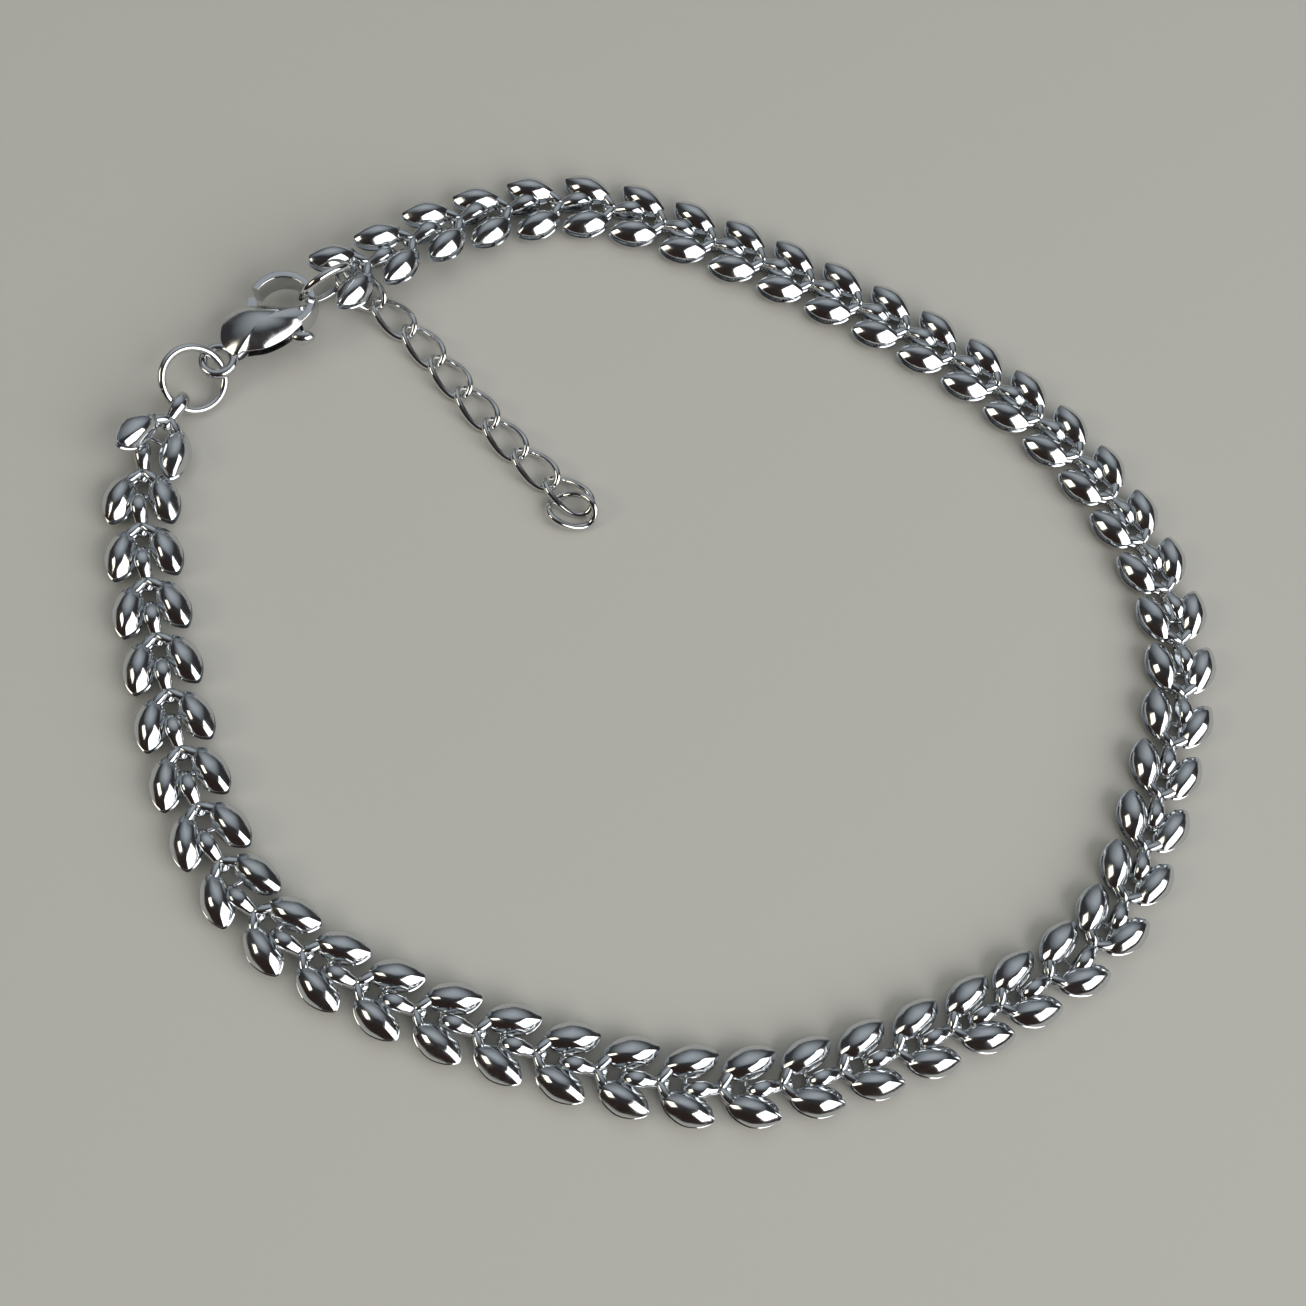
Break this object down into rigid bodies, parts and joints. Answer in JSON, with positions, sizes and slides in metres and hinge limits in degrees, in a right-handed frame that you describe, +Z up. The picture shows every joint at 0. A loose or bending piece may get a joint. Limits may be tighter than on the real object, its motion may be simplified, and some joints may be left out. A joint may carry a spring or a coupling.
{
  "type": "anklet",
  "caption": "Leaf link ankle chain in polished steel, closed by a sprung lever clasp, with a short curb link extender tail.",
  "frame": {"origin": "centre of the bounding box's bottom face, on the surface that the anklet lies on", "axes": "+Z is up from the surface; +X and +Y lie in it, +X to the picture's right and +Y away from the viewer"},
  "size_m": [0.0868, 0.0778, 0.0054],
  "materials": {
    "leaf_chain_a": "polished steel",
    "leaf_chain_b": "polished steel",
    "jump_ring_start": "polished steel",
    "clasp_body": "polished steel",
    "clasp_lever": "polished steel",
    "jump_ring_end": "polished steel",
    "extender_link_1": "polished steel",
    "extender_link_2": "polished steel",
    "extender_link_3": "polished steel",
    "extender_link_4": "polished steel",
    "extender_link_5": "polished steel",
    "extender_link_6": "polished steel",
    "extender_link_7": "polished steel",
    "extender_link_8": "polished steel",
    "extender_link_9": "polished steel"
  },
  "bodies": {
    "anklet": {"leaf_chain_a": "leaf_chain_a", "leaf_chain_b": "leaf_chain_b", "jump_ring_start": "jump_ring_start", "clasp_body": "clasp_body", "jump_ring_end": "jump_ring_end", "extender_link_1": "extender_link_1", "extender_link_2": "extender_link_2", "extender_link_3": "extender_link_3", "extender_link_4": "extender_link_4", "extender_link_5": "extender_link_5", "extender_link_6": "extender_link_6", "extender_link_7": "extender_link_7", "extender_link_8": "extender_link_8", "extender_link_9": "extender_link_9"},
    "lever": {"clasp_lever": "clasp_lever"}
  },
  "joints": [
    {"name": "lever_hinge", "type": "hinge", "parent": "anklet", "child": "lever", "pos_m": [-0.0326, 0.02285, 0.00209], "axis": [0.1112, -0.0405, -0.993], "range_deg": [0, 22], "stiffness_Nm_per_rad": 0.003, "springref_deg": -17.19}
  ]
}
